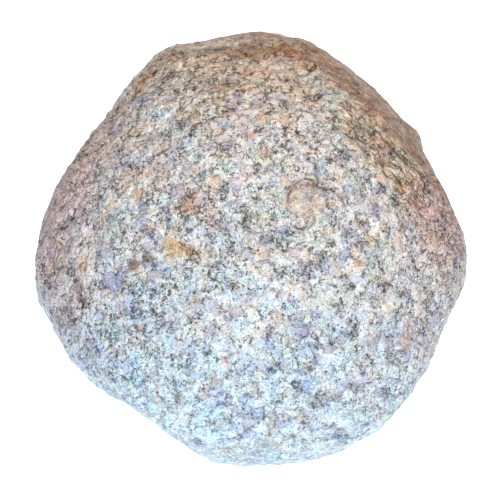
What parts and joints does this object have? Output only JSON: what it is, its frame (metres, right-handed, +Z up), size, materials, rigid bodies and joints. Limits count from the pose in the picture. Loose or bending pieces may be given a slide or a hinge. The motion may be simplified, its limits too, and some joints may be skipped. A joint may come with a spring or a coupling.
{
  "type": "rounded granite fieldstone",
  "caption": "Loose rounded granite stone with worn faces, a small knob, low ledges and pits, which lies on a natural flat underneath.",
  "frame": {"origin": "on the surface the stone lies on, under the centre of its box", "axes": "+Z up, +Y to the far side, along the stone's longest level extent, +X to the right"},
  "size_m": [0.2198, 0.2294, 0.1598],
  "materials": {
    "granite": "weathered, dull and rough to the touch"
  },
  "bodies": {
    "root": {"granite_stone": "granite"}
  },
  "joints": []
}
